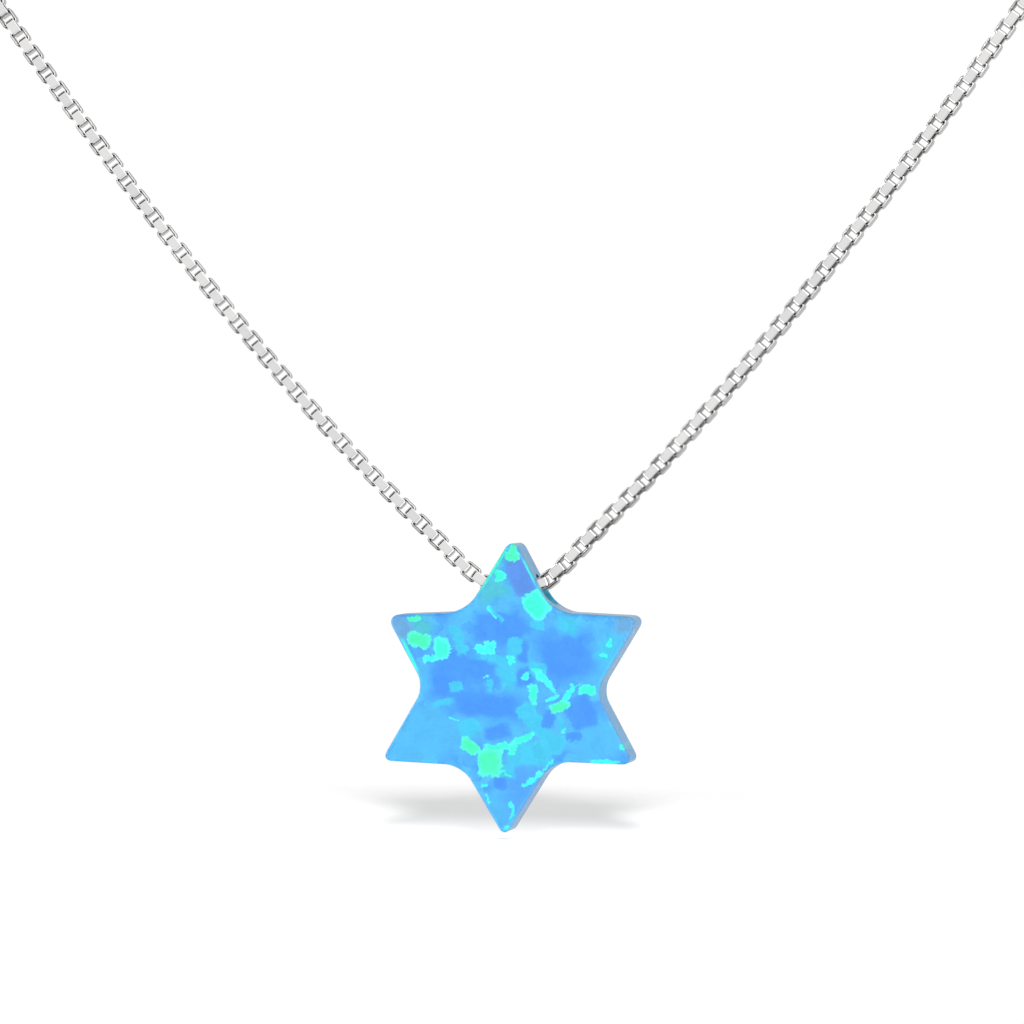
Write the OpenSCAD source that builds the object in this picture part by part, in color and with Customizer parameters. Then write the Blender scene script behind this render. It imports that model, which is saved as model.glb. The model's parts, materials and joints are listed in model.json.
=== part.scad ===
// Six-pointed star pendant: an opal slab, drilled sideways through its upper
// point, that hangs on a closed loop of fine box chain with a ring clasp.
// Millimetres. The origin is the middle of the clasp, at the nape. +Z is up,
// -Y is the front and X runs along the hole in the star.

/* [Star] */
// Height from the upper point to the lower one, before the points are rounded
star_h = 14.5; // [13:0.5:18]
// Width across the side points, before they are rounded
star_w = 12.4; // [11:0.1:15]
// Thickness of the stone
star_t = 2.6; // [2.2:0.1:4]
// Radius of the rounded points, seen from the front
tip_r = 0.25; // [0.24:0.01:0.6]
// Radius of the hollows between the points
notch_r = 1.9; // [0.5:0.1:2.4]
// Radius of the softened edge round both faces
edge_r = 0.2; // [0.05:0.01:0.22]

/* [Hole] */
// Diameter of the hole drilled sideways through the upper point
bore_d = 1.5; // [1.4:0.05:1.7]
// Distance from the upper point, before it is rounded, down to the hole's middle
bore_drop = 2.5; // [2.4:0.1:3.2]

/* [Box chain] */
// Width of the chain across two opposite plates
chain_w = 0.8; // [0.74:0.02:0.9]
// Outside length of one link
link_l = 0.855; // [0.8:0.005:1]
// Width of the flat band that a link is bent from
band_w = 0.46; // [0.36:0.02:0.5]
// Thickness of that band
band_t = 0.15; // [0.12:0.01:0.16]
// Radius of a link's outside corners
link_r = 0.17; // [0.17:0.01:0.3]

/* [Clasp] */
// Outside diameter of the clasp's hoop
hoop_d = 5.5; // [5:0.1:7]
// Thickness of the hoop
hoop_wire = 1.1; // [0.8:0.05:1.3]
// Outside diameter of the small eye on the hoop
eye_d = 2.1; // [1.9:0.1:2.6]
// Thickness of the eye
eye_wire = 0.45; // [0.35:0.05:0.5]
// Diameter of the thumb lever
lever_d = 0.7; // [0.5:0.05:0.8]
// Height of the thumb lever above the hoop
lever_l = 0.8; // [0.5:0.1:1.2]
// Angle from the jump ring on the hoop round to the thumb lever
lever_turn = 35; // [30:5:120]

/* [Jump rings] */
// Outside diameter of a jump ring
ring_d = 3; // [2.8:0.1:3.6]
// Thickness of a jump ring
ring_wire = 0.34; // [0.28:0.02:0.36]

/* [Clearances] */
// Gap between pieces of metal that pull on each other
link_gap = 0.05; // [0.03:0.01:0.06]
// Gap between the chain and the top of the hole that hangs on it
seat_gap = 0.14; // [0.06:0.01:0.16]

/* [Hidden] */

up = [0, 0, 1];

// Star: half the width gained for each millimetre below the upper point
flank = (star_w / 2) / (0.75 * star_h);
// Half the length of the hole along its middle line
mouth = bore_drop * flank;
// Farthest corner of the chain from its middle line
chain_reach = norm([chain_w, band_w]) / 2;
// How far the hole's middle hangs below the chain's
hang = bore_d / 2 - chain_reach - seat_gap;

// Radii of the middle lines of the hoop, the eye and the jump rings
hoop_r = (hoop_d - hoop_wire) / 2;
eye_r = (eye_d - eye_wire) / 2;
ring_r = (ring_d - ring_wire) / 2;
// Half the opening of a link along the chain
link_half = link_l / 2 - band_t;
// From the far side of a jump ring's wire to the middle of the link that it pulls on
ring_to_link = link_half - ring_wire / 2 - link_gap;
// The eye's own middle line starts on the hoop's outside
eye_x = -(hoop_r + hoop_wire / 2 + eye_r);
ring_left_x = eye_x - eye_r + eye_wire / 2 + link_gap + ring_wire / 2 - ring_r;
ring_right_x = hoop_r - hoop_wire / 2 - link_gap - ring_wire / 2 + ring_r;
left_end = ring_left_x - ring_r - ring_to_link;
right_end = ring_right_x + ring_r + ring_to_link;

// The lowest point of the chain's middle line, inside the hole
front = [0, -118, -98];
// How far the chain's bend over the hole's edge reaches to each side of the edge
bend = 0.6;
// The chain's middle line, from the clasp's left round the neck, down to the
// star and back up on the right
route = [
    [left_end, 0, 0], [-17, -0.6, -0.1], [-30, -5.5, -1.2],
    [-42, -14.5, -3.2], [-51, -27.5, -6.5], [-56.5, -43, -11.5],
    [-58, -60, -18], [-56, -77, -26], [-51, -92.5, -35],
    [-43.5, -105, -45.5], [-35, -113.5, -57], [-27.35, -117.5, -68.3],
    [-21, -118, -76.7], [-14.75, -118, -84.4], [-7.72, -118, -92.1],
    [-3.83, -118, -95.8], [-mouth - bend, -118, -97.45],
    [-mouth, -118, -97.86], [-mouth + bend, -118, -98],
    front,
    [mouth - bend, -118, -98], [mouth, -118, -97.84],
    [mouth + bend, -118, -97.36], [3.5, -118, -95.8],
    [7.15, -118, -91.9], [13.67, -118, -84.1], [19.53, -118, -76.4],
    [25.55, -117.5, -67.8], [33.5, -113.5, -57], [42.5, -105, -45.5],
    [50.5, -92.5, -35], [56, -77, -26], [58, -60, -18],
    [56.5, -43, -11.5], [51, -27.5, -6.5], [42, -14.5, -3.2],
    [30, -5.5, -1.2], [16.5, -0.6, -0.1], [right_end, 0, 0]
];
bore_mid = front - [0, 0, hang];
star_mid = bore_mid - [0, 0, star_h / 2 - bore_drop];

function unit(v) = v / norm(v);

// The star's twelve corners, from the upper point round by the left. The stone
// is cut by hand, so it isn't quite regular. Columns: across and up from its
// middle, as shares of its width and height, and how many times the radius of
// its kind of corner this one has.
corner_shares = [
    [0.005, 0.505, 1.4],
    [-0.175, 0.25, 1],
    [-0.49, 0.235, 1.5],
    [-0.335, 0, 0.7],
    [-0.5, -0.25, 1.1],
    [-0.18, -0.26, 0.9],
    [-0.01, -0.495, 1],
    [0.17, -0.24, 0.9],
    [0.495, -0.245, 1.2],
    [0.34, -0.005, 0.7],
    [0.51, 0.245, 1.4],
    [0.165, 0.255, 1]
];

// Arc round corner b, between a and c, on an outline drawn inwards by inset.
// A point's arc shrinks with the inset and a hollow's grows.
function corner_arc(a, b, c, r, inset, steps) =
    let (u = unit(a - b), v = unit(c - b),
         half = acos(u * v) / 2,
         mid = b + unit(u + v) * r / sin(half),
         from = unit(b + u * r / tan(half) - mid),
         to = unit(b + v * r / tan(half) - mid),
         sweep = 180 - 2 * half,
         hollow = cross(b - a, c - b) < 0,
         radius = hollow ? r + inset : r - inset)
    [for (k = [0 : steps])
        mid + radius * (sin(sweep * (1 - k / steps)) * from
                        + sin(sweep * k / steps) * to) / sin(sweep)];

// Every other corner is a point, and the ones between are hollows
function star_outline(inset) =
    let (n = len(corner_shares), tip_steps = 5, notch_steps = 6,
         c = [for (s = corner_shares) [s[0] * star_w, s[1] * star_h]])
    [for (i = [0 : n - 1])
        each corner_arc(c[(i + n - 1) % n], c[i], c[(i + 1) % n],
                        corner_shares[i][2] * (i % 2 == 0 ? tip_r : notch_r), inset,
                        i % 2 == 0 ? tip_steps : notch_steps)];

// Slab with a quarter-round edge on both faces, as rings of points from the
// front face to the back one
module star_slab() {
    steps = 3;
    turns = [for (k = [0 : steps]) 90 * k / steps];
    levels = concat(
        [for (q = turns) [edge_r * (1 - sin(q)), edge_r * (1 - cos(q)) - star_t / 2]],
        [for (q = turns) [edge_r * (1 - cos(q)), star_t / 2 - edge_r * (1 - sin(q))]]);
    rings = [for (l = levels) [for (p = star_outline(l[0])) [p[0], l[1], p[1]]]];
    n = len(rings[0]);
    last = len(rings) - 1;
    // Each face is a fan about its middle, because its outline isn't convex
    front_mid = (last + 1) * n;
    back_mid = front_mid + 1;
    polyhedron(
        points = concat([for (r = rings) each r], [[0, -star_t / 2, 0], [0, star_t / 2, 0]]),
        faces = concat(
            [for (i = [0 : n - 1]) [front_mid, (i + 1) % n, i]],
            [for (i = [0 : n - 1]) [back_mid, last * n + i, last * n + (i + 1) % n]],
            [for (j = [0 : last - 1], i = [0 : n - 1])
                [j * n + i, j * n + (i + 1) % n, (j + 1) * n + (i + 1) % n, (j + 1) * n + i]]));
}

module star() {
    color("DeepSkyBlue") difference() {
        translate(star_mid) star_slab();
        translate(bore_mid) rotate([0, 90, 0])
            cylinder(d = bore_d, h = star_w, center = true, $fn = 48);
    }
}

// A smooth curve through the route's points, for any spacing between them
last_point = len(route) - 1;
chords = [for (i = [0 : last_point - 1]) norm(route[i + 1] - route[i])];
slopes = [for (i = [0 : last_point - 1]) (route[i + 1] - route[i]) / chords[i]];
function tangent(i) =
    i == 0 ? 2 * slopes[0] - tangent(1)
    : i == last_point ? 2 * slopes[last_point - 1] - tangent(last_point - 1)
    : (slopes[i - 1] * chords[i] + slopes[i] * chords[i - 1]) / (chords[i - 1] + chords[i]);
tangents = [for (i = [0 : last_point]) tangent(i)];

function on_route(i, t) =
    (2 * t ^ 3 - 3 * t ^ 2 + 1) * route[i]
    + (t ^ 3 - 2 * t ^ 2 + t) * chords[i] * tangents[i]
    + (3 * t ^ 2 - 2 * t ^ 3) * route[i + 1]
    + (t ^ 3 - t ^ 2) * chords[i] * tangents[i + 1];

// The chain's outer form: a tube with a flat on each of the four sides that
// the plates face, and four narrower flats across their corners
module chain_tube() {
    sides = 8;
    per_span = 2;
    corner_r = chain_w / 2 / cos(180 / sides);
    line = concat(
        [on_route(0, link_half / chords[0])],
        [for (i = [0 : last_point - 1], k = [0 : per_span - 1]) if (i + k > 0)
            on_route(i, k / per_span)],
        [on_route(last_point - 1, 1 - link_half / chords[last_point - 1])]);
    n = len(line);
    rings = [for (i = [0 : n - 1])
        let (along = unit(line[min(i + 1, n - 1)] - line[max(i - 1, 0)]),
             out = unit(cross(along, up)),
             side = cross(along, out))
        [for (k = [0 : sides - 1])
            let (a = 360 * (k + 0.5) / sides)
            line[i] + corner_r * (cos(a) * out + sin(a) * side)]];
    polyhedron(
        points = [for (r = rings) each r],
        faces = concat(
            [[for (k = [0 : sides - 1]) k]],
            [[for (k = [sides - 1 : -1 : 0]) (n - 1) * sides + k]],
            [for (i = [0 : n - 2], k = [0 : sides - 1])
                let (a = i * sides + k, b = i * sides + (k + 1) % sides)
                each [[a, a + sides, b], [b, a + sides, b + sides]]]));
}

module rounded_rect(l, w, r) {
    square([l - 2 * r, w], center = true);
    square([l, w - 2 * r], center = true);
    for (x = [-1, 1], y = [-1, 1])
        translate([x * (l / 2 - r), y * (w / 2 - r)]) circle(r = r, $fn = 24);
}

// A whole link at the chain's end, that a jump ring passes through
module end_link() {
    rotate([90, 0, 0]) linear_extrude(band_w, center = true) difference() {
        rounded_rect(link_l, chain_w, link_r);
        rounded_rect(link_l - 2 * band_t, chain_w - 2 * band_t, link_r - band_t);
    }
}

module chain() {
    color("Silver") {
        chain_tube();
        translate(route[0]) end_link();
        translate(route[last_point]) end_link();
    }
}

// A closed round of wire about the Z axis
module wire_ring(r, wire) {
    rotate_extrude($fn = 64) translate([r, 0]) circle(d = wire, $fn = 24);
}

module clasp() {
    color("Silver") rotate([90, 0, 0]) {
        wire_ring(hoop_r, hoop_wire);
        translate([eye_x, 0, 0]) wire_ring(eye_r, eye_wire);
        rotate([0, 0, lever_turn]) translate([hoop_r, 0, 0]) rotate([0, 90, 0])
            cylinder(d = lever_d, h = hoop_wire / 2 + lever_l, $fn = 24);
    }
}

module ring_left() {
    color("Silver") translate([ring_left_x, 0, 0]) wire_ring(ring_r, ring_wire);
}

module ring_right() {
    color("Silver") translate([ring_right_x, 0, 0]) wire_ring(ring_r, ring_wire);
}

star();
chain();
clasp();
ring_left();
ring_right();
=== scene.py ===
# Six-pointed opal star, drilled sideways through its upper point, that hangs on a
# closed loop of fine silver box chain with a spring ring. Metres, +Z up, -Y front.
import json
import math
import random
from bisect import bisect
from itertools import accumulate

import bmesh
import bpy
from mathutils import Matrix, Vector
from mathutils.geometry import interpolate_bezier


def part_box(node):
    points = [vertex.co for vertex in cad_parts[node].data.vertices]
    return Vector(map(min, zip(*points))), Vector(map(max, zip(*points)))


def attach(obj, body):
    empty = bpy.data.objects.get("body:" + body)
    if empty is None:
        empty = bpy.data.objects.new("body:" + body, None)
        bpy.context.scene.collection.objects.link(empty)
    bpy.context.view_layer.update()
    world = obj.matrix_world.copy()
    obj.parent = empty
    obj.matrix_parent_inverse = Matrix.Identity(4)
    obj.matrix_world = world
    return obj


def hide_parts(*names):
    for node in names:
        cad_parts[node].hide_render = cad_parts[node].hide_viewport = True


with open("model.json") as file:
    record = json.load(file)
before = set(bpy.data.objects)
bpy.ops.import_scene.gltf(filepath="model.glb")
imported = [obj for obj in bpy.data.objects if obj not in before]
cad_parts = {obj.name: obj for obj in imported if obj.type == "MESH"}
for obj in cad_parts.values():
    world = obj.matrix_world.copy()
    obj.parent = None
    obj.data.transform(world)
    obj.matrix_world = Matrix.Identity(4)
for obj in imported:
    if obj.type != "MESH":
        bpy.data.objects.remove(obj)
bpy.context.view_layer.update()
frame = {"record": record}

MM = 0.001
UP = Vector((0, 0, 1))
# How sharply two faces have to meet for the edge between them to be broken, on the
# links and the star, and on the clasp and its rings
SHARP_TURN = math.radians(60)
SHARP_WIRE_TURN = math.radians(50)

# The star, before its points are rounded
STAR_HEIGHT = 14.5 * MM
STAR_WIDTH = 12.4 * MM
TIP_RADIUS = 0.25 * MM
NOTCH_RADIUS = 1.9 * MM
TIP_STEPS = 8
NOTCH_STEPS = 12
EDGE_RADIUS = 0.2 * MM
EDGE_STEPS = 5
BORE_RADIUS = 0.75 * MM
BORE_DROP = 2.5 * MM
BORE_MIDDLE = Vector(frame["record"]["behaviour"]["joints"][0]["pos_m"])
STAR_MIDDLE = BORE_MIDDLE + UP * (BORE_DROP - STAR_HEIGHT / 2)
star_low, star_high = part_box("star")
STAR_THICKNESS = star_high.y - star_low.y
# Its corners as it is cut by hand, from the upper point round by the left: across and
# up, as shares of its width and height, and how many times the radius each one has
CORNERS = [
    (0.005, 0.505, 1.4),
    (-0.175, 0.25, 1),
    (-0.49, 0.235, 1.5),
    (-0.335, 0, 0.7),
    (-0.5, -0.25, 1.1),
    (-0.18, -0.26, 0.9),
    (-0.01, -0.495, 1),
    (0.17, -0.24, 0.9),
    (0.495, -0.245, 1.2),
    (0.34, -0.005, 0.7),
    (0.51, 0.245, 1.4),
    (0.165, 0.255, 1),
]

# One box link: a flat band bent round a rectangle
LINK_LENGTH = 0.855 * MM
CHAIN_WIDTH = 0.8 * MM
BAND_WIDTH = 0.46 * MM
BAND_THICKNESS = 0.15 * MM
LINK_CORNER = 0.17 * MM
BAND_EDGE = 0.055 * MM
TAUT_PITCH = LINK_LENGTH - 2 * BAND_THICKNESS

# The strands are rolled about their own line over the front, and straighten behind
ROLL_LEFT = math.radians(-8)
ROLL_RIGHT = math.radians(-11)
ROLL_START = 2 * MM
ROLL_KEPT = 50 * MM
ROLL_GONE = 100 * MM

# Where the strands leave the hole, how far the bend over its edge reaches, and the
# chain's lowest point, in millimetres
MOUTH = 1.4253
BEND = 0.6
IN_HOLE = (0, -118, -98)
# The chain's middle line in millimetres, from the clasp's left round the neck, down
# to the star and back up on the right
ROUTE_MM = [
    (-6.6725, 0, 0), (-17, -0.6, -0.1), (-30, -5.5, -1.2), (-42, -14.5, -3.2),
    (-51, -27.5, -6.5), (-56.5, -43, -11.5), (-58, -60, -18), (-56, -77, -26),
    (-51, -92.5, -35), (-43.5, -105, -45.5), (-35, -113.5, -57),
    (-27.35, -117.5, -68.3), (-21, -118, -76.7), (-14.75, -118, -84.4),
    (-7.72, -118, -92.1), (-3.83, -118, -95.8), (-MOUTH - BEND, -118, -97.45),
    (-MOUTH, -118, -97.86), (-MOUTH + BEND, -118, -98),
    IN_HOLE,
    (MOUTH - BEND, -118, -98), (MOUTH, -118, -97.84),
    (MOUTH + BEND, -118, -97.36), (3.5, -118, -95.8), (7.15, -118, -91.9),
    (13.67, -118, -84.1), (19.53, -118, -76.4), (25.55, -117.5, -67.8),
    (33.5, -113.5, -57), (42.5, -105, -45.5), (50.5, -92.5, -35),
    (56, -77, -26), (58, -60, -18), (56.5, -43, -11.5), (51, -27.5, -6.5),
    (42, -14.5, -3.2), (30, -5.5, -1.2), (16.5, -0.6, -0.1), (4.1475, 0, 0),
]
ROUTE = [Vector(point) * MM for point in ROUTE_MM]
STEPS_PER_SPAN = 40
# Sets how bright each link is next to the others
SHADE_SEED = 7
# Six spans between links are pushed together in the hole. Past these places, left and
# right of its middle, the chain is pulled tight.
HOLE_SPANS = 6
TIGHT_FROM = (-1.2 * MM, 1.8 * MM)

# The camera: its turn from straight in front, height, lean and distance, and where
# the star's middle falls below the middle of the picture
CAMERA_TURN = math.radians(9.5)
CAMERA_RISE = math.radians(1.0)
CAMERA_LEAN = math.radians(0.85)
CAMERA_DISTANCE = 300 * MM
CAMERA_AIM = STAR_MIDDLE + Vector((-0.17, 0, 8.46)) * MM
SENSOR = 36
LENS = 218.5
CLIP = (0.01, 30)

# The spring ring: its hoop of tube, whose gap and lever slot are in degrees from +X
# towards +Z, its bolt and thumb lever, and the eye soldered to it
HOOP_RADIUS = 2.2 * MM
HOOP_WIRE = 0.55 * MM
TUBE_BORE = 0.41 * MM
TUBE_SIDES = 16
TUBE_EDGE = 0.03 * MM
BOLT_RADIUS = 0.38 * MM
BOLT_HIDDEN_TURN = 25
GAP_TURNS = (60, 100)
SLOT_TURNS = (10, 42)
# How squarely the faces that make way for the slot look outwards: 1 is straight out
SLOT_FACES = 0.9
LEVER_TURN = 35
LEVER_NECK = 0.17 * MM
LEVER_NECK_REACH = 0.1 * MM
LEVER_RADIUS = 0.35 * MM
LEVER_LENGTH = 0.8 * MM
LEVER_GAP = 0.02 * MM
LEVER_EDGE = 0.12 * MM
EYE_RADIUS = 0.825 * MM
EYE_WIRE = 0.225 * MM
EYE_X = -3.575 * MM
SOLDER_RADIUS = 0.3 * MM
SOLDER_FLATNESS = 0.8
# Degrees of a bent wire's sweep from one ring of points to the next
BEND_STEP = 7.5
# Turns a ring made flat so that it stands in the XZ plane
UPRIGHT = Matrix.Rotation(math.radians(90), 4, "X")

# The jump rings and where they sit
JUMP_RADIUS = 1.33 * MM
JUMP_WIRE = 0.17 * MM
JUMP_LEFT_X = -5.285 * MM
JUMP_RIGHT_X = 2.76 * MM
JUMP_EDGE = 0.02 * MM
# The seam where a jump ring's ends meet: how wide it is, and where it is on each ring
JUMP_SEAM = 2
JUMP_LEFT_SEAM = 120
JUMP_RIGHT_SEAM = 60

# The floor, and how much light it throws back and, where it has melted into the
# background, gives off
FLOOR_GAP = 0.4 * MM
FLOOR_REACH = 8
FLOOR_COLOUR = 0.685
FLOOR_GLOW = 1.03
# How far from the star's foot the floor fades out, and the glowing strip behind the foot, which is
# painted light that fades out the near edge of the star's cast shadow: where it starts, is whitest and
# ends
FLOOR_FADE = (30 * MM, 50 * MM)
FLOOR_GLOW_STRIP = (-1 * MM, 1 * MM, 20 * MM)
FLOOR_MIDDLE = Vector((0, STAR_MIDDLE.y, star_low.z - FLOOR_GAP))

# The lamps: how far round from the front and how high they stand, in degrees, their
# distance from the star, width and height in metres, and power in watts
SHADOW_LAMP = (9.5, 20, 110 * MM, (12 * MM, 20 * MM), 0.28)
RIGHT_STRIP = (79, 33, 0.4, (0.05, 0.3), 0.2)
LEFT_STRIP = (-98, 24, 0.4, (0.05, 0.3), 0.3)

# How bright the studio is all round, and as polished metal sees it: in front, from low
# to high, to the sides, behind, the dark table far below and the flag at the upper left
ROOM_LIGHT = 0.9
FRONT_LIGHT = (0.69, 0.84)
SIDE_LIGHT = 1.2
BEHIND_LIGHT = 0.57
TABLE_LIGHT = 0.08
FLAG_LIGHT = 0.012
# Where these turn into each other, as shares of the way to the front, to the top and to
# the flags
BEHIND_TO_SIDE = (-0.5, 0)
SIDE_TO_FRONT = (0.6, 0.75)
FRONT_HEIGHT = (-0.25, 0.35)
TABLE_HEIGHT = (-0.66, -0.73)
FLAG_SIDE = (-0.7071, 0, 0.7071)
FLAG_RIM = (0.55, 0.7)
FLAG_FRONT = (-0.1, 0.2)
LOW_FLAG_SIDE = (-0.7, 0.1, -0.7071)
LOW_FLAG_RIM = (0.965, 0.985)


def smooth_step(value, start, end):
    share = min(max((value - start) / (end - start), 0), 1)
    return share * share * (3 - 2 * share)


def direction(turn, rise):
    """The way from the star to something that far round from the front and that high."""
    return Vector((math.sin(turn) * math.cos(rise), -math.cos(turn) * math.cos(rise), math.sin(rise)))


# Camera


def add_camera():
    back = direction(CAMERA_TURN, CAMERA_RISE)
    right = Vector((math.cos(CAMERA_TURN), math.sin(CAMERA_TURN), 0))
    axes = Matrix((right, back.cross(right), back)).transposed()
    lean = Matrix.Rotation(CAMERA_LEAN, 3, back)
    data = bpy.data.cameras.new("camera")
    data.sensor_width = SENSOR
    data.lens = LENS
    data.clip_start, data.clip_end = CLIP
    camera = new_object("camera", data)
    place = Matrix.Translation(CAMERA_AIM + back * CAMERA_DISTANCE)
    camera.matrix_world = place @ (lean @ axes).to_4x4()
    bpy.context.scene.camera = camera


# Shader helpers


def linear(red, green, blue):
    """An 8-bit screen colour as scene-linear RGBA."""
    parts = [value / 255 for value in (red, green, blue)]
    parts = [p / 12.92 if p <= 0.04045 else ((p + 0.055) / 1.055) ** 2.4 for p in parts]
    return (*parts, 1)


def grey(light):
    """A scene-linear grey."""
    return (light, light, light, 1)


def add_node(tree, kind, sockets=(), **settings):
    """Adds a shader node. A socket is given a plain value or another node's output."""
    made = tree.nodes.new("ShaderNode" + kind)
    for name, value in settings.items():
        setattr(made, name, value)
    for key, value in dict(sockets).items():
        if isinstance(value, bpy.types.NodeSocket):
            tree.links.new(value, made.inputs[key])
        else:
            made.inputs[key].default_value = value
    return made


def calculate(tree, operation, *values):
    return add_node(tree, "Math", enumerate(values), operation=operation).outputs[0]


def blend_colours(tree, share, first, second):
    return add_node(tree, "Mix", {0: share, 6: first, 7: second}, data_type="RGBA").outputs[2]


def remap(tree, value, start, end, low=0.0, high=1.0):
    """Turns start..end into low..high with soft ends."""
    sockets = {"Value": value, "From Min": start, "From Max": end, "To Min": low, "To Max": high}
    return add_node(tree, "MapRange", sockets, interpolation_type="SMOOTHSTEP").outputs["Result"]


def new_group(name, inputs, outputs):
    """A node group with named sockets, its inputs by name, and its output node."""
    group = bpy.data.node_groups.new(name, "ShaderNodeTree")
    for in_out, sockets in (("INPUT", inputs), ("OUTPUT", outputs)):
        for socket, kind in sockets.items():
            group.interface.new_socket(socket, in_out=in_out, socket_type="NodeSocket" + kind)
    return group, group.nodes.new("NodeGroupInput").outputs, group.nodes.new("NodeGroupOutput")


def new_material(name):
    material = bpy.data.materials.new(name)
    material.use_nodes = True
    tree = material.node_tree
    return material, tree, tree.nodes["Principled BSDF"]


# How the scratches of a polished surface run: two ways, stretched along X, and where in
# the noise a scratch starts and is deepest
SCRATCH_TURNS = ((0.3, 0.2, 0.9), (1.4, 0.7, -0.5))
SCRATCH_STRETCH = (0.06, 1, 1)
SCRATCH_RANGE = (0.62, 0.72)
# The part of the smudge noise that a finish follows from end to end
SMUDGE_RANGE = (0.3, 0.8)


def polish_group():
    """Smudges and hairline scratches of a polished surface."""
    group, given, result = new_group(
        "polish",
        {"Vector": "Vector", "Smudge size": "Float", "Scratch size": "Float"},
        {"Smudge": "Float", "Height": "Float"},
    )
    smudge_scale = calculate(group, "DIVIDE", 1.0, given["Smudge size"])
    smudge = add_node(
        group, "TexNoise", {"Vector": given["Vector"], "Scale": smudge_scale, "Detail": 4.0}
    )
    scratch_scale = calculate(group, "DIVIDE", 1.0, given["Scratch size"])
    lines = []
    for turn in SCRATCH_TURNS:
        stretched = add_node(
            group, "Mapping", {"Vector": given["Vector"], "Rotation": turn, "Scale": SCRATCH_STRETCH}
        ).outputs[0]
        noise = add_node(group, "TexNoise", {"Vector": stretched, "Scale": scratch_scale, "Detail": 1.0})
        lines.append(remap(group, noise.outputs["Fac"], *SCRATCH_RANGE))
    height = calculate(group, "SUBTRACT", smudge.outputs["Fac"], calculate(group, "MAXIMUM", *lines))
    group.links.new(smudge.outputs["Fac"], result.inputs["Smudge"])
    group.links.new(height, result.inputs["Height"])
    return group


# Silver

# The clean metal, from its dullest link to its brightest, its tarnish on the links' inner faces, which
# is also painted shade there, the part of the smudge noise that it follows, and how thin and thick it
# lies
DULL_SILVER = (240, 240, 241)
BRIGHT_SILVER = (252, 251, 250)
TARNISH_AND_SHADE = (150, 147, 146)
TARNISH_AND_SHADE_RANGE = (0.3, 0.75)
TARNISH_AND_SHADE_SHARE = (0.35, 0.8)
SILVER_ROUGHNESS = (0.10, 0.24)


def silver_material(polish):
    """Bright polished silver, greyer on the links' inner faces: tarnish, and painted shade."""
    material, tree, shader = new_material("silver")
    place = add_node(tree, "TexCoord").outputs["Object"]
    finish = add_node(
        tree, "Group", {"Vector": place, "Smudge size": 2.2 * MM, "Scratch size": 0.12 * MM},
        node_tree=polish,
    ).outputs
    inside = add_node(tree, "Attribute", attribute_name="inside").outputs["Fac"]
    shade = add_node(tree, "Attribute", attribute_name="shade").outputs["Fac"]
    bright = blend_colours(tree, shade, linear(*DULL_SILVER), linear(*BRIGHT_SILVER))
    # Tarnish on the links' inner faces, which is also painted shade there
    patchy = remap(tree, finish["Smudge"], *TARNISH_AND_SHADE_RANGE, *TARNISH_AND_SHADE_SHARE)
    tarnish_and_shade = calculate(tree, "MULTIPLY", patchy, inside)
    colour = blend_colours(tree, tarnish_and_shade, bright, linear(*TARNISH_AND_SHADE))
    tree.links.new(colour, shader.inputs["Base Color"])
    shader.inputs["Metallic"].default_value = 1.0
    roughness = remap(tree, finish["Smudge"], *SMUDGE_RANGE, *SILVER_ROUGHNESS)
    tree.links.new(roughness, shader.inputs["Roughness"])
    bump = add_node(
        tree, "Bump", {"Height": finish["Height"], "Strength": 0.15, "Distance": 0.01 * MM}
    ).outputs[0]
    tree.links.new(bump, shader.inputs["Normal"])
    return material


# Opal

# What share of their light the stone's colours keep, so that they show as charted, and
# the shares of that which the dullest crumbs and facets keep
OPAL_LIGHT = 0.97
CRUMB_LIGHT = 0.94
FACET_LIGHT = 0.93
OPAL_ROUGHNESS = (0.05, 0.16)
OPAL_IOR = 1.45
# How much the pattern changes through the thickness, next to across the face
THROUGH = 0.2
# The wide drift of the pattern and the fine one, as noise scale, reach and detail, and
# the crumbs, facets and veins. Scales are per millimetre.
WIDE_DRIFT = (1.6, 0.5, 2.0)
FINE_DRIFT = (9.0, 0.12, 1.0)
CRUMB_SCALE = 9.0
CRUMB_SHARE = 0.7
FACET_SCALE = 1.9
FACET_SHARE = 0.35
VEIN_SCALE = 0.8
VEIN_RANGE = (0.45, 0.9)
# The stone's ground between the patches, from dark to light
GROUND = ((74, 163, 253), (86, 194, 252))
# How square a patch's corners are: 2 is an ellipse
SQUARENESS = 5
# Where a patch's core starts and is full, as shares of the way from its middle
CORE_REACH = (0.85, 0.6)
# The duller colour of its sides, how much of it there is, and how far from the middle
# of the thickness it ends, in millimetres
SIDE_COLOUR = (40, 156, 214)
SIDE_COLOUR_SHARE = 0.75
SIDE_COLOUR_FROM = (1.12, 1.26)
# Rim and core of each tint, as screen colours
TINTS = {
    "deep": ((72, 158, 255), (70, 154, 255)),
    "blue": ((82, 172, 254), (82, 172, 254)),
    "sky": ((84, 192, 250), (82, 190, 250)),
    "veil": ((72, 206, 248), (68, 204, 246)),
    "teal": ((78, 198, 226), (80, 200, 222)),
    "violet": ((92, 152, 238), (90, 148, 236)),
    "grey": ((110, 176, 228), (106, 172, 226)),
    "cyan": ((84, 250, 250), (62, 248, 242)),
    "mint": ((84, 252, 242), (62, 252, 224)),
    "green": ((88, 252, 228), (74, 255, 192)),
}
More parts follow.
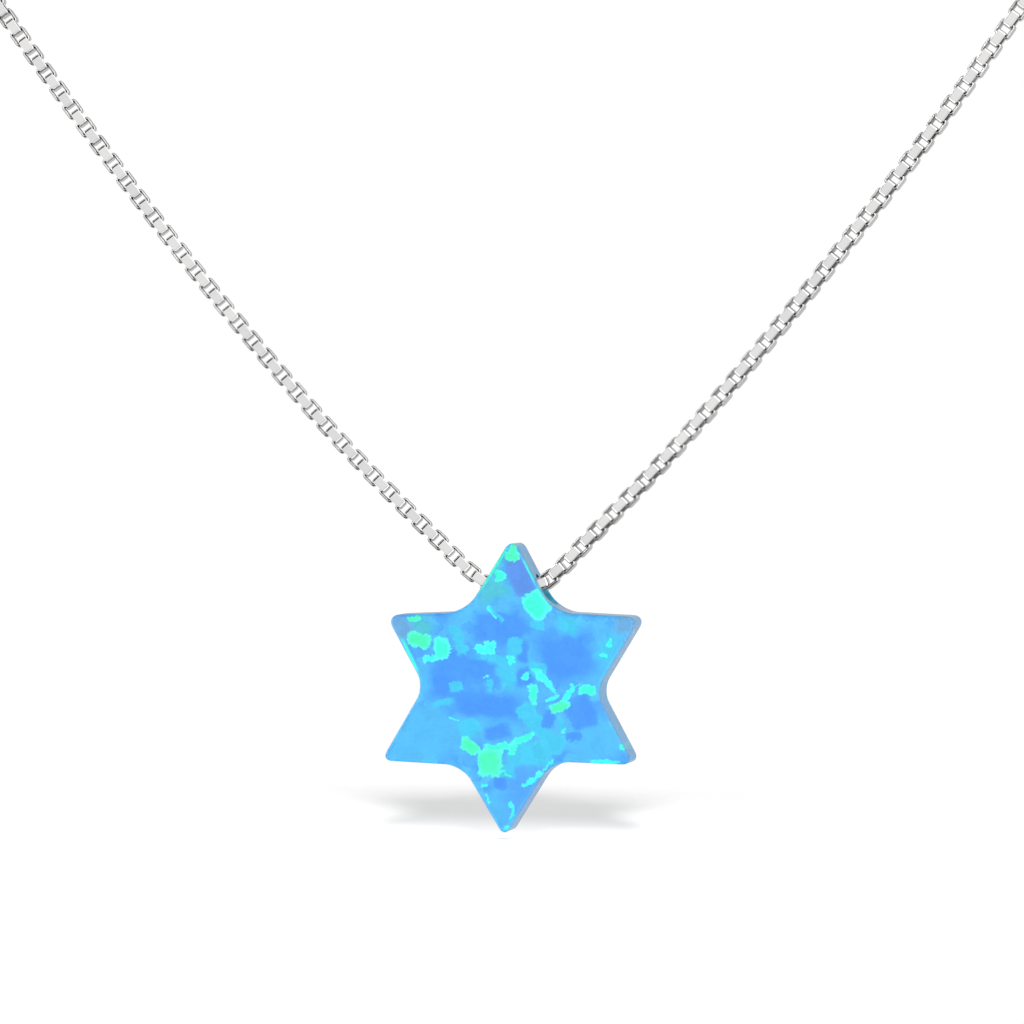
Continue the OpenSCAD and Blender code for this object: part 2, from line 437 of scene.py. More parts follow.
# The stone's patches and flashes, from the lowest layer up. Across and up
# from the star's middle, half sizes and softness, in millimetres, and the turn of
# the long way from level, in degrees
PATCHES = [
    # tint, across, up, half length, half width, turn, softness
    ("sky", -4.3, -2.4, 1.9, 1.4, 20, 0.60),
    ("sky", -4.1, 0.6, 1.2, 0.6, 50, 0.50),
    ("sky", -1.2, -1.9, 1.8, 0.5, 0, 0.50),
    ("sky", 3.4, -2.0, 1.5, 0.8, 10, 0.40),
    ("sky", -3.1, 0.9, 0.9, 0.5, 10, 0.50),
    ("sky", 0.5, 0.2, 0.9, 2.0, 0, 0.60),
    ("sky", 4.6, 1.2, 1.1, 0.5, 60, 0.50),
    ("sky", 4.5, -2.6, 1.2, 0.7, 20, 0.50),
    ("sky", 0.1, -5.7, 1.0, 0.8, 0, 0.50),
    ("blue", 0.9, -4.9, 1.0, 1.2, 0, 0.40),
    ("deep", -2.1, 1.0, 1.7, 0.8, 0, 0.35),
    ("deep", -1.1, -0.8, 1.9, 0.7, -6, 0.40),
    ("deep", -3.1, 0.1, 0.7, 0.7, 0, 0.40),
    ("deep", -0.9, 2.9, 0.8, 0.7, 0, 0.40),
    ("deep", 2.8, 1.6, 1.4, 1.2, 15, 0.35),
    ("deep", 3.6, -1.1, 0.7, 0.8, 20, 0.15),
    ("deep", 0.65, 1.7, 0.28, 0.5, 0, 0.20),
    ("deep", -0.5, 0.95, 0.35, 0.25, -30, 0.20),
    ("deep", 0.8, 0.5, 0.45, 0.5, 0, 0.30),
    ("deep", 0.0, 2.9, 1.0, 0.7, 30, 0.40),
    ("violet", 0.45, 5.35, 0.5, 0.95, 18, 0.12),
    ("teal", -0.85, 4.75, 0.75, 0.55, 25, 0.50),
    ("teal", -0.75, 5.9, 0.3, 0.6, -25, 0.50),
    ("teal", -4.3, 2.85, 0.5, 0.45, 30, 0.80),
    ("grey", -5.25, 2.85, 0.6, 0.45, -40, 0.40),
    ("veil", 2.85, 3.1, 0.55, 0.4, -20, 0.60),
    ("grey", 5.7, 3.2, 0.5, 0.4, 0, 0.80),
    ("veil", 4.75, 2.0, 0.35, 0.7, -30, 0.60),
    ("veil", -2.65, 2.74, 0.3, 0.2, 10, 0.15),
    ("veil", -2.43, 2.1, 0.2, 0.5, 5, 0.20),
    ("veil", -2.2, 1.8, 0.26, 0.16, 0, 0.20),
    ("veil", -0.6, 1.35, 1.0, 0.2, -12, 0.50),
    ("veil", 0.3, 2.05, 0.34, 0.36, 0, 0.15),
    ("veil", 0.1, 1.45, 0.3, 0.5, -20, 0.15),
    ("veil", -0.1, 0.6, 0.4, 0.6, 20, 0.40),
    ("veil", -0.95, 0.1, 0.12, 0.28, 0, 0.20),
    ("veil", -2.55, 0.02, 0.33, 0.26, 5, 0.10),
    ("veil", -1.9, -2.0, 0.5, 0.42, 35, 0.12),
    ("veil", -3.2, -0.8, 0.5, 0.15, 15, 0.40),
    ("veil", 1.05, -3.15, 1.1, 0.6, 0, 0.20),
    ("veil", 0.0, -4.0, 0.4, 0.3, 0, 0.20),
    ("veil", 1.45, -1.75, 1.3, 0.4, -49, 0.08),
    ("veil", 0.85, -1.05, 0.5, 0.3, 20, 0.10),
    ("veil", 2.2, -2.6, 0.6, 0.5, -20, 0.10),
    ("deep", 2.0, -1.5, 0.32, 0.42, -10, 0.12),
    ("deep", 3.15, -2.25, 0.36, 0.2, -5, 0.15),
    ("deep", -0.3, -4.55, 0.35, 0.3, 0, 0.20),
    ("deep", -0.5, -2.1, 0.6, 0.35, 10, 0.30),
    ("green", 0.06, 6.38, 0.36, 0.26, -5, 0.06),
    ("green", 0.1, 6.7, 0.16, 0.26, 0, 0.10),
    ("mint", -0.5, 5.4, 0.27, 0.27, -5, 0.05),
    ("mint", 1.28, 4.05, 0.74, 0.54, -49, 0.03),
    ("veil", 1.37, 3.05, 0.34, 0.2, 0, 0.06),
    ("cyan", -0.8, 3.64, 0.3, 0.13, -45, 0.10),
    ("veil", -0.5, 3.45, 0.36, 0.13, -50, 0.12),
    ("green", -4.62, 3.28, 0.36, 0.11, -6, 0.10),
    ("green", -4.4, 2.22, 0.54, 0.35, -14, 0.04),
    ("mint", -3.28, 1.86, 0.4, 0.52, 4, 0.04),
    ("cyan", -3.9, 1.36, 0.36, 0.16, 6, 0.06),
    ("cyan", -0.9, 1.92, 0.32, 0.35, -10, 0.05),
    ("cyan", -1.4, 1.9, 0.3, 0.18, 0, 0.06),
    ("cyan", 0.12, 1.4, 0.17, 0.26, 15, 0.10),
    ("cyan", -1.08, 0.57, 0.15, 0.05, -10, 0.15),
    ("cyan", 0.8, 0.6, 0.14, 0.16, 20, 0.06),
    ("veil", 1.4, 0.95, 0.42, 0.36, -10, 0.12),
    ("mint", 1.32, 0.82, 0.24, 0.14, -10, 0.12),
    ("cyan", 1.8, 0.4, 0.6, 0.15, -40, 0.08),
    ("mint", 1.2, -0.25, 0.19, 0.48, -5, 0.06),
    ("cyan", 2.1, -0.42, 0.42, 0.08, 20, 0.12),
    ("cyan", 2.0, 0.15, 0.5, 0.07, -35, 0.15),
    ("green", 2.48, -0.8, 0.52, 0.24, 30, 0.05),
    ("cyan", 2.93, -0.22, 0.16, 0.44, -28, 0.06),
    ("mint", 3.87, -0.02, 0.42, 0.26, -8, 0.05),
    ("cyan", 3.2, 0.2, 0.3, 0.05, 15, 0.15),
    ("cyan", 2.67, -1.9, 0.1, 0.16, 0, 0.12),
    ("veil", 2.55, -1.55, 0.1, 0.3, 15, 0.15),
    ("cyan", -2.65, -1.55, 0.28, 0.06, -25, 0.20),
    ("green", -1.88, -2.86, 0.45, 0.3, -40, 0.05),
    ("mint", -0.45, -2.82, 0.75, 0.2, 6, 0.08),
    ("green", -0.88, -3.58, 0.6, 0.7, 0, 0.03),
    ("mint", 0.75, -2.42, 0.62, 0.14, 16, 0.10),
    ("mint", 0.25, -2.95, 0.22, 0.3, -20, 0.12),
    ("mint", 0.0, -4.1, 0.3, 0.06, -15, 0.15),
    ("cyan", 4.75, -3.4, 0.75, 0.1, 2, 0.10),
    ("mint", 5.6, -2.75, 0.12, 0.16, 20, 0.10),
    ("cyan", 1.2, -4.35, 0.58, 0.14, 43, 0.06),
    ("cyan", 1.95, -3.68, 0.36, 0.05, 40, 0.12),
    ("cyan", -1.1, -4.65, 0.16, 0.08, 0, 0.12),
    ("cyan", -0.95, -5.35, 0.08, 0.24, 30, 0.15),
    ("cyan", 0.22, -5.75, 0.08, 0.24, 15, 0.15),
    ("cyan", 0.15, -6.1, 0.07, 0.2, -30, 0.15),
    ("cyan", 0.0, -6.72, 0.14, 0.12, 0, 0.15),
    ("cyan", 4.92, 2.3, 0.14, 0.24, -30, 0.10),
    ("cyan", 4.55, 1.7, 0.16, 0.09, 10, 0.12),
]
# Painted highlights: straight lines of light just inside the stone's edge, where its bevels catch the
# lamps, charted in the same way
PAINTED_EDGE_HIGHLIGHTS = [
    ("mint", -0.78, 5.78, 1.2, 0.08, 58, 0.50),
    ("cyan", 0.88, 5.7, 0.6, 0.05, -62, 0.50),
    ("cyan", 1.62, 4.5, 0.5, 0.04, -56, 0.50),
    ("mint", -4.84, 1.5, 0.8, 0.08, -63, 0.50),
]


def flash_group():
    """Lays one patch of colour, with its own rim and core, over what is under it."""
    group, given, result = new_group(
        "opal flash",
        {
            "Under": "Color", "Rim": "Color", "Core": "Color", "Vector": "Vector",
            "Middle": "Vector", "Long way": "Vector", "Cross way": "Vector", "Softness": "Float",
        },
        {"Colour": "Color"},
    )
    offset = add_node(
        group, "VectorMath", {0: given["Vector"], 1: given["Middle"]}, operation="SUBTRACT"
    ).outputs["Vector"]
    powers = []
    for way in ("Long way", "Cross way"):
        share = add_node(
            group, "VectorMath", {0: offset, 1: given[way]}, operation="DOT_PRODUCT"
        ).outputs["Value"]
        powers.append(calculate(group, "POWER", calculate(group, "ABSOLUTE", share), SQUARENESS))
    reach = calculate(group, "POWER", calculate(group, "ADD", *powers), 1 / SQUARENESS)
    outer = calculate(group, "ADD", 1.0, given["Softness"])
    inner = calculate(group, "SUBTRACT", 1.0, given["Softness"])
    colour = blend_colours(group, remap(group, reach, outer, inner), given["Under"], given["Rim"])
    colour = blend_colours(group, remap(group, reach, *CORE_REACH), colour, given["Core"])
    group.links.new(colour, result.inputs["Colour"])
    return group


def opal_material(polish):
    """Blue synthetic opal: columns of colour that run through the thickness."""
    material, tree, shader = new_material("opal")
    place = add_node(tree, "TexCoord").outputs["Object"]
    centred = add_node(
        tree, "Mapping",
        {"Vector": place, "Location": -STAR_MIDDLE / MM, "Scale": (1 / MM,) * 3},
    ).outputs[0]
    columns = add_node(tree, "Mapping", {"Vector": centred, "Scale": (1, THROUGH, 1)}).outputs[0]

    def shifted(vector, scale, amount, detail):
        """The vector, pushed about by noise."""
        noise = add_node(tree, "TexNoise", {"Vector": vector, "Scale": scale, "Detail": detail})
        offset = add_node(
            tree, "VectorMath", {0: noise.outputs["Color"], 1: (0.5, 0.5, 0.5)}, operation="SUBTRACT"
        ).outputs[0]
        pushed = add_node(
            tree, "VectorMath", {0: offset, 1: (amount,) * 3, 2: vector}, operation="MULTIPLY_ADD"
        ).outputs[0]
        return pushed

    drifted = shifted(columns, *WIDE_DRIFT)
    crumbs = add_node(
        tree, "TexVoronoi", {"Vector": shifted(drifted, *FINE_DRIFT), "Scale": CRUMB_SCALE}
    )
    ragged = add_node(
        tree, "Mix", {0: CRUMB_SHARE, 4: drifted, 5: crumbs.outputs["Position"]}, data_type="VECTOR"
    ).outputs[1]
    facets = add_node(tree, "TexVoronoi", {"Vector": ragged, "Scale": FACET_SCALE})
    facet = add_node(tree, "SeparateColor", {0: facets.outputs["Color"]}).outputs

    veins = add_node(tree, "TexNoise", {"Vector": ragged, "Scale": VEIN_SCALE, "Detail": 3.0})
    light = calculate(tree, "MULTIPLY_ADD", facet[0], FACET_SHARE, veins.outputs["Fac"])
    dark, pale = (linear(*shown) for shown in GROUND)
    colour = blend_colours(tree, remap(tree, light, *VEIN_RANGE), dark, pale)
    flash = flash_group()
    # The patches, then the painted highlights along the stone's edge on top
    charted = [(ragged, *row) for row in PATCHES] + [(columns, *row) for row in PAINTED_EDGE_HIGHLIGHTS]
    for vector, tint, across, up, half_length, half_width, turn, softness in charted:
        rim, core = (linear(*shown) for shown in TINTS[tint])
        turned = Matrix.Rotation(-math.radians(turn), 3, "Y")
        colour = add_node(
            tree, "Group",
            {
                "Under": colour, "Rim": rim, "Core": core, "Vector": vector,
                "Middle": (across, 0, up), "Long way": turned @ Vector((1 / half_length, 0, 0)),
                "Cross way": turned @ Vector((0, 0, 1 / half_width)), "Softness": softness,
            },
            node_tree=flash,
        ).outputs["Colour"]

    # The light comes back duller from the sides, across the columns
    depth = calculate(tree, "ABSOLUTE", add_node(tree, "SeparateXYZ", {0: centred}).outputs["Y"])
    side = remap(tree, depth, *SIDE_COLOUR_FROM, SIDE_COLOUR_SHARE, 0)
    colour = blend_colours(tree, side, colour, linear(*SIDE_COLOUR))
    cell = add_node(tree, "SeparateColor", {0: crumbs.outputs["Color"]}).outputs[0]
    glitter = remap(tree, cell, 0, 1, CRUMB_LIGHT * OPAL_LIGHT, OPAL_LIGHT)
    glitter = calculate(tree, "MULTIPLY", glitter, remap(tree, facet[1], 0, 1, FACET_LIGHT, 1.0))
    lit = add_node(tree, "VectorMath", {0: colour, "Scale": glitter}, operation="SCALE").outputs[0]
    tree.links.new(lit, shader.inputs["Base Color"])

    finish = add_node(
        tree, "Group", {"Vector": place, "Smudge size": 3 * MM, "Scratch size": 0.3 * MM},
        node_tree=polish,
    ).outputs
    roughness = remap(tree, finish["Smudge"], *SMUDGE_RANGE, *OPAL_ROUGHNESS)
    tree.links.new(roughness, shader.inputs["Roughness"])
    shader.inputs["IOR"].default_value = OPAL_IOR
    bump = add_node(
        tree, "Bump", {"Height": finish["Height"], "Strength": 0.1, "Distance": 0.02 * MM}
    ).outputs[0]
    tree.links.new(bump, shader.inputs["Normal"])
    return material


# Mesh helpers


# The power of a face's area by which it pulls at the shading of its corners
FLATS_LEAD = 6


def keep_flats_flat(mesh):
    """At each corner the largest face leads the shading, so that only bevels look round."""
    sums = [Vector() for _ in mesh.vertices]
    for face in mesh.polygons:
        pull = face.normal * (face.area / MM ** 2) ** FLATS_LEAD
        for index in face.vertices:
            sums[index] += pull
    mesh.normals_split_custom_set_from_vertices([total.normalized() for total in sums])


def new_mesh(name, bm):
    mesh = bpy.data.meshes.new(name)
    bm.to_mesh(mesh)
    bm.free()
    return mesh


def new_object(name, data):
    made = bpy.data.objects.new(name, data)
    bpy.context.collection.objects.link(made)
    return made


def extrude_all(bm, way):
    """Gives a flat face, or a ring of them, its thickness."""
    extruded = bmesh.ops.extrude_face_region(bm, geom=bm.faces[:])["geom"]
    moved = [part for part in extruded if isinstance(part, bmesh.types.BMVert)]
    bmesh.ops.translate(bm, vec=way, verts=moved)


def break_edges(bm, offset, segments, sharp_turn):
    """Bevels every edge between faces that meet at more than the sharp turn."""
    sharp = [edge for edge in bm.edges if edge.calc_face_angle(0) > sharp_turn]
    bmesh.ops.bevel(
        bm, geom=sharp, affect="EDGES", offset=offset, segments=segments, profile=0.5, material=-1
    )


def finished(name, bm, material, body, nodes, flats=False):
    """Makes a bmesh into a piece that stands for CAD nodes and rides on their body."""
    piece = new_object(name, new_mesh(name, bm))
    dress(piece, material, body, nodes, flats)
    return piece


def dress(piece, material, body, nodes, flats=False):
    """Gives a piece its material, hides the CAD nodes it stands for, and hangs it on their body."""
    mesh = piece.data
    mesh.materials.clear()
    mesh.materials.append(material)
    mesh.shade_smooth()
    if flats:
        keep_flats_flat(mesh)
    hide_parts(*nodes)
    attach(piece, body)


# Chain


def curve_through(points):
    """Points along a smooth curve through a route whose points are unevenly spaced."""
    chords = [(b - a).length for a, b in zip(points, points[1:])]
    slopes = [(b - a) / chord for a, b, chord in zip(points, points[1:], chords)]
    tangents = [
        (before * after_chord + after * before_chord) / (before_chord + after_chord)
        for before, after, before_chord, after_chord in zip(slopes, slopes[1:], chords, chords[1:])
    ]
    tangents = [2 * slopes[0] - tangents[0], *tangents, 2 * slopes[-1] - tangents[-1]]
    line = []
    for i, chord in enumerate(chords):
        start, end = points[i], points[i + 1]
        handles = start + tangents[i] * chord / 3, end - tangents[i + 1] * chord / 3
        line += interpolate_bezier(start, *handles, end, STEPS_PER_SPAN + 1)[:-1]
    return [*line, points[-1]]


def link_template():
    """One link, long way along X, with its opening along Z."""
    bm = bmesh.new()
    bmesh.ops.create_grid(bm, x_segments=1, y_segments=1, size=0.5)
    bmesh.ops.scale(bm, vec=(LINK_LENGTH, CHAIN_WIDTH, 1), verts=bm.verts)
    bmesh.ops.bevel(
        bm, geom=bm.verts[:], affect="VERTICES", offset=LINK_CORNER, segments=2, profile=0.5,
        material=-1,
    )
    inside = bm.verts.layers.float.new("inside")
    plate = bm.faces[:]
    bmesh.ops.inset_region(
        bm, faces=plate, thickness=BAND_THICKNESS, use_boundary=True, use_even_offset=True
    )
    for vert in plate[0].verts:
        vert[inside] = 1
    bmesh.ops.delete(bm, geom=plate, context="FACES_ONLY")
    extrude_all(bm, (0, 0, BAND_WIDTH))
    bmesh.ops.translate(bm, vec=(0, 0, -BAND_WIDTH / 2), verts=bm.verts)
    bmesh.ops.recalc_face_normals(bm, faces=bm.faces)
    break_edges(bm, BAND_EDGE, 1, SHARP_TURN)
    return new_mesh("link", bm)


def chain_links(material):
    """The links along the route, every second one turned on its edge."""
    line = curve_through(ROUTE)
    reach = [0, *accumulate((b - a).length for a, b in zip(line, line[1:]))]
    at_star = reach[ROUTE_MM.index(IN_HOLE) * STEPS_PER_SPAN]

    def point_at(distance):
        i = min(max(bisect(reach, distance) - 1, 0), len(line) - 2)
        return line[i].lerp(line[i + 1], (distance - reach[i]) / (reach[i + 1] - reach[i]))

    def roll_at(distance):
        offset = distance - at_star
        roll = ROLL_RIGHT if offset > 0 else ROLL_LEFT
        start = smooth_step(abs(offset), 0, ROLL_START)
        return roll * start * (1 - smooth_step(abs(offset), ROLL_KEPT, ROLL_GONE))

    def evenly(start, end):
        """Links from start up to end, pulled tight, with an even count of spans."""
        spans = 2 * math.ceil((end - start) / TAUT_PITCH / 2)
        return [start + (end - start) * i / spans for i in range(spans)]

    left, right = (at_star + offset for offset in TIGHT_FROM)
    in_hole = [left + (right - left) * i / HOLE_SPANS for i in range(HOLE_SPANS)]
    distances = [*evenly(0, left), *in_hole, *evenly(right, reach[-1]), reach[-1]]
    template = link_template()
    template.attributes.new("shade", "FLOAT", "FACE")
    rng = random.Random(SHADE_SEED)
    chain = bmesh.new()
    for i, distance in enumerate(distances):
        ahead, behind = (point_at(distance + offset) for offset in (TAUT_PITCH / 2, -TAUT_PITCH / 2))
        along = (ahead - behind).normalized()
        out = along.cross(UP).normalized()
        roll = Matrix.Rotation(roll_at(distance), 3, along)
        out, side = roll @ out, roll @ along.cross(out)
        wide, deep = (side, -out) if i % 2 == 0 else (out, side)
        link = template.copy()
        turned = Matrix((along, wide, deep)).transposed().to_4x4()
        link.transform(Matrix.Translation(point_at(distance)) @ turned)
        link.attributes["shade"].data.foreach_set("value", [rng.random()] * len(link.polygons))
        chain.from_mesh(link)
        bpy.data.meshes.remove(link)
    bpy.data.meshes.remove(template)
    return finished("chain_links", chain, material, "necklace", ["chain"], flats=True)


# Star


def round_corner(bm, corner, radius, segments):
    """Bevels one corner of a flat outline to an arc of that radius."""
    sides = [edge.other_vert(corner).co - corner.co for edge in corner.link_edges]
    half = sides[0].angle(sides[1]) / 2
    depth = radius / math.sin(half) - radius
    reach = depth / (2 * math.cos(half) * (1 - math.sqrt(0.5)))
    bmesh.ops.bevel(
        bm, geom=[corner], affect="VERTICES", offset=reach, segments=segments, profile=0.5,
        material=-1,
    )


def opal_star(material):
    """The slab: its flat outline with rounded corners, its thickness, edges and hole."""
    bm = bmesh.new()
    bmesh.ops.create_circle(bm, cap_ends=True, radius=STAR_HEIGHT / 2, segments=len(CORNERS))
    outline = sorted(bm.verts, key=lambda vert: math.atan2(vert.co.x, -vert.co.y), reverse=True)
    for (across, up, _), vert in zip(CORNERS, outline):
        vert.co = (across * STAR_WIDTH, up * STAR_HEIGHT, 0)
    for i, (across, up, share) in enumerate(CORNERS):
        bm.verts.ensure_lookup_table()
        place = Vector((across * STAR_WIDTH, up * STAR_HEIGHT, 0))
        corner = min(bm.verts, key=lambda vert: (vert.co - place).length)
        if i % 2:
            round_corner(bm, corner, share * NOTCH_RADIUS, NOTCH_STEPS)
        else:
            round_corner(bm, corner, share * TIP_RADIUS, TIP_STEPS)
    bmesh.ops.rotate(bm, matrix=Matrix.Rotation(math.radians(90), 3, "X"), verts=bm.verts)
    bmesh.ops.translate(bm, vec=STAR_MIDDLE - Vector((0, STAR_THICKNESS / 2, 0)), verts=bm.verts)
    extrude_all(bm, (0, STAR_THICKNESS, 0))
    bmesh.ops.recalc_face_normals(bm, faces=bm.faces)
    break_edges(bm, EDGE_RADIUS, EDGE_STEPS, SHARP_TURN)
    star = new_object("opal_star", new_mesh("opal_star", bm))
    drill(star)
    dress(star, material, "star", ["star"], flats=True)
    return star


def drill(star):
    """Cuts the hole along X."""
    bm = bmesh.new()
    bmesh.ops.create_cone(
        bm, cap_ends=True, segments=64, radius1=BORE_RADIUS, radius2=BORE_RADIUS, depth=STAR_WIDTH
    )
    bmesh.ops.rotate(bm, matrix=Matrix.Rotation(math.radians(90), 3, "Y"), verts=bm.verts)
    bmesh.ops.translate(bm, vec=BORE_MIDDLE, verts=bm.verts)
    bit = new_object("bit", new_mesh("bit", bm))
    cut = star.modifiers.new("hole", "BOOLEAN")
    cut.object = bit
    cut.operation = "DIFFERENCE"
    cut.solver = "EXACT"
    graph = bpy.context.evaluated_depsgraph_get()
    drilled = bpy.data.meshes.new_from_object(star.evaluated_get(graph))
    star.modifiers.clear()
    star.data = drilled
    bpy.data.objects.remove(bit)


# Clasp and jump rings


def bent_wire(bm, ring_radius, wire_radius, place, start=0, sweep=360, sides=12, bore_radius=0):
    """Adds a wire or tube bent round its own Z: a whole ring, or an arc with flat ends."""
    whole = sweep == 360
    start_turn = Matrix.Rotation(math.radians(start), 4, "Z")
    across = Matrix.Translation((ring_radius, 0, 0)) @ Matrix.Rotation(math.radians(90), 4, "X")
    earlier = set(bm.verts)
    capped = not whole and not bore_radius
    for radius in filter(None, (wire_radius, bore_radius)):
        bmesh.ops.create_circle(
            bm, cap_ends=capped, radius=radius, segments=sides, matrix=start_turn @ across
        )
    section = set(bm.verts) - earlier
    edges = {edge for vert in section for edge in vert.link_edges}
    if bore_radius:
        bmesh.ops.bridge_loops(bm, edges=list(edges))
        edges = {edge for vert in section for edge in vert.link_edges}
    faces = {face for edge in edges for face in edge.link_faces}
    bmesh.ops.spin(
        bm, geom=[*section, *edges, *faces], cent=(0, 0, 0), axis=(0, 0, 1),
        angle=math.radians(sweep), steps=math.ceil(sweep / BEND_STEP), use_merge=whole,
    )
    made = [vert for vert in bm.verts if vert not in earlier]
    bmesh.ops.transform(bm, matrix=place, verts=made)


def cut_lever_slot(bm):
    """Opens the tube's outer side for the lever, through both skins of its wall."""
    low, high = (math.radians(turn) for turn in SLOT_TURNS)
    cut = []
    for face in bm.faces:
        place = face.calc_center_median()
        turn = math.atan2(place.z, place.x)
        outward = Vector((math.cos(turn), 0, math.sin(turn)))
        offset = place - outward * HOOP_RADIUS
        if low < turn < high and offset.normalized().dot(outward) > SLOT_FACES:
            cut.append(face)
    bmesh.ops.delete(bm, geom=cut, context="FACES")
    bmesh.ops.bridge_loops(bm, edges=[edge for edge in bm.edges if edge.is_boundary])


def spring_clasp(material):
    """Spring ring: a slotted tube, the bolt that closes its gap, a thumb lever and an eye."""
    bm = bmesh.new()
    gap_start, gap_end = GAP_TURNS
    bent_wire(
        bm, HOOP_RADIUS, HOOP_WIRE, UPRIGHT, gap_end, 360 - gap_end + gap_start, TUBE_SIDES,
        TUBE_BORE,
    )
    cut_lever_slot(bm)
    break_edges(bm, TUBE_EDGE, 2, SHARP_WIRE_TURN)
    bolt_start, bolt_end = gap_start - BOLT_HIDDEN_TURN, gap_end + BOLT_HIDDEN_TURN
    bent_wire(bm, HOOP_RADIUS, BOLT_RADIUS, UPRIGHT, bolt_start, bolt_end - bolt_start)
    eye_place = Matrix.Translation((EYE_X, 0, 0)) @ UPRIGHT
    bent_wire(bm, EYE_RADIUS, EYE_WIRE, eye_place)
    hoop_edge = HOOP_RADIUS + HOOP_WIRE
    flatten = Matrix.Diagonal((SOLDER_FLATNESS, 1, 1, 1))
    solder_place = Matrix.Translation((-hoop_edge, 0, 0)) @ flatten
    bmesh.ops.create_uvsphere(
        bm, u_segments=16, v_segments=10, radius=SOLDER_RADIUS, matrix=solder_place
    )
    lean = Matrix.Rotation(math.radians(90 - LEVER_TURN), 4, "Y")
    knob = bmesh.new()
    for radius, low, high in (
        (LEVER_NECK, HOOP_RADIUS, hoop_edge + LEVER_NECK_REACH),
        (LEVER_RADIUS, hoop_edge + LEVER_GAP, hoop_edge + LEVER_LENGTH),
    ):
        place = lean @ Matrix.Translation((0, 0, (low + high) / 2))
        bmesh.ops.create_cone(
            knob, cap_ends=True, segments=20, radius1=radius, radius2=radius, depth=high - low,
            matrix=place,
        )
    break_edges(knob, LEVER_EDGE, 3, SHARP_WIRE_TURN)
    lever = new_mesh("lever", knob)
    bm.from_mesh(lever)
    bpy.data.meshes.remove(lever)
    bmesh.ops.recalc_face_normals(bm, faces=bm.faces)
    return finished("spring_clasp", bm, material, "necklace", ["clasp"])


def jump_ring(name, middle_x, seam_turn, material):
    """A bent wire whose two ends butt together at a fine seam."""
    bm = bmesh.new()
    place = Matrix.Translation((middle_x, 0, 0))
    bent_wire(bm, JUMP_RADIUS, JUMP_WIRE, place, seam_turn + JUMP_SEAM / 2, 360 - JUMP_SEAM)
    break_edges(bm, JUMP_EDGE, 2, SHARP_WIRE_TURN)
    bmesh.ops.recalc_face_normals(bm, faces=bm.faces)
    return finished("jump_" + name, bm, material, "necklace", [name])


# Floor and lights


def pale_floor():
    """A matt floor that melts into the white background a little way round the star."""
    bm = bmesh.new()
    bmesh.ops.create_circle(bm, cap_ends=True, radius=FLOOR_REACH, segments=64)
    bmesh.ops.translate(bm, vec=FLOOR_MIDDLE, verts=bm.verts)
    floor = new_object("floor", new_mesh("floor", bm))
    floor.visible_glossy = False
    material, tree, shader = new_material("floor")
    place = add_node(tree, "TexCoord").outputs["Object"]
    distance = add_node(
        tree, "VectorMath", {0: place, 1: FLOOR_MIDDLE}, operation="DISTANCE"
    ).outputs["Value"]
    start, middle, end = (FLOOR_MIDDLE.y + behind for behind in FLOOR_GLOW_STRIP)
    depth = add_node(tree, "SeparateXYZ", {0: place}).outputs["Y"]
    # A glowing strip behind the star's foot: painted light that fades out the near edge of its cast
    # shadow
    strip = calculate(
        tree, "MINIMUM", remap(tree, depth, start, middle), remap(tree, depth, end, middle)
    )
    white = calculate(tree, "MAXIMUM", remap(tree, distance, *FLOOR_FADE), strip)
    base = blend_colours(tree, white, grey(FLOOR_COLOUR), grey(0))
    glow = blend_colours(tree, white, grey(0), grey(FLOOR_GLOW))
    tree.links.new(base, shader.inputs["Base Color"])
    tree.links.new(glow, shader.inputs["Emission Color"])
    shader.inputs["Emission Strength"].default_value = 1.0
    shader.inputs["Roughness"].default_value = 1.0
    shader.inputs["Specular IOR Level"].default_value = 0.0
    floor.data.materials.append(material)
    return floor


def area_lamp(name, azimuth, elevation, distance, size, power):
    """A soft box that faces the star from that direction."""
    way = direction(math.radians(azimuth), math.radians(elevation))
    data = bpy.data.lights.new(name, "AREA")
    data.shape = "RECTANGLE"
    data.size, data.size_y = size
    data.energy = power
    lamp = new_object(name, data)
    lamp.rotation_euler = way.to_track_quat("Z", "Y").to_euler()
    lamp.location = STAR_MIDDLE + way * distance
    lamp.visible_camera = False
    return lamp


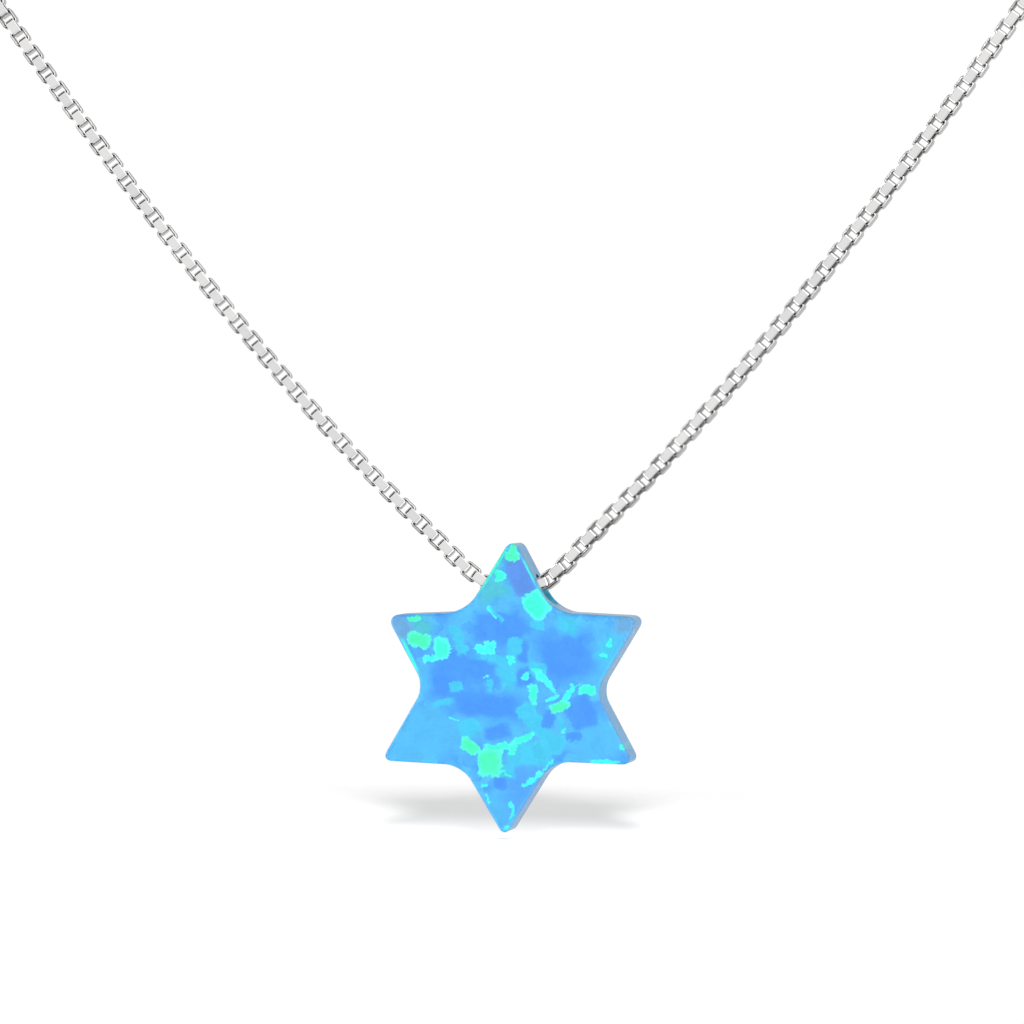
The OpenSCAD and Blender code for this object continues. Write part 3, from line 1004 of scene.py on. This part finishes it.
def lights(ground, star):
    """A lamp that only casts the star's shadow on the floor, and a strip on each side."""
    shadow = area_lamp("shadow lamp", *SHADOW_LAMP)
    lit = bpy.data.collections.new("lit by the shadow lamp")
    lit.objects.link(ground)
    shadow.light_linking.receiver_collection = lit
    blockers = bpy.data.collections.new("shading the floor")
    blockers.objects.link(star)
    shadow.light_linking.blocker_collection = blockers
    # The photo's chain mirrors the white room and none of the stone's blue
    star.visible_glossy = False
    area_lamp("right strip", *RIGHT_STRIP)
    area_lamp("left strip", *LEFT_STRIP)


def studio_world():
    """White behind everything. Polished metal sees a grey front, white sides and dark flags."""
    made = bpy.data.worlds.new("studio")
    made.use_nodes = True
    bpy.context.scene.world = made
    tree = made.node_tree
    way = add_node(tree, "TexCoord").outputs["Generated"]

    def towards(goal):
        """How far the way looked points to the goal: 1 is straight at it."""
        sockets = {0: way, 1: goal}
        return add_node(tree, "VectorMath", sockets, operation="DOT_PRODUCT").outputs["Value"]

    frontness = towards((0, -1, 0))
    height = towards((0, 0, 1))
    sides = remap(tree, frontness, *BEHIND_TO_SIDE, BEHIND_LIGHT, SIDE_LIGHT)
    front = remap(tree, height, *FRONT_HEIGHT, *FRONT_LIGHT)
    seen = remap(tree, frontness, *SIDE_TO_FRONT, sides, front)
    table = remap(tree, height, *TABLE_HEIGHT)
    low_flag = remap(tree, towards(LOW_FLAG_SIDE), *LOW_FLAG_RIM)
    dark = calculate(tree, "MAXIMUM", table, low_flag)
    seen = blend_colours(tree, dark, seen, grey(TABLE_LIGHT))
    flag = remap(tree, towards(FLAG_SIDE), *FLAG_RIM)
    flag = calculate(tree, "MULTIPLY", flag, remap(tree, frontness, *FLAG_FRONT))
    seen = blend_colours(tree, flag, seen, grey(FLAG_LIGHT))
    path = add_node(tree, "LightPath").outputs
    seen = blend_colours(tree, path["Is Glossy Ray"], grey(ROOM_LIGHT), seen)
    seen = blend_colours(tree, path["Is Camera Ray"], seen, grey(1))
    tree.links.new(seen, tree.nodes["Background"].inputs["Color"])


add_camera()
bpy.context.scene.view_settings.view_transform = "Standard"
polish = polish_group()
silver = silver_material(polish)
opal = opal_material(polish)
chain_links(silver)
star = opal_star(opal)
spring_clasp(silver)
jump_ring("ring_left", JUMP_LEFT_X, JUMP_LEFT_SEAM, silver)
jump_ring("ring_right", JUMP_RIGHT_X, JUMP_RIGHT_SEAM, silver)
lights(pale_floor(), star)
studio_world()
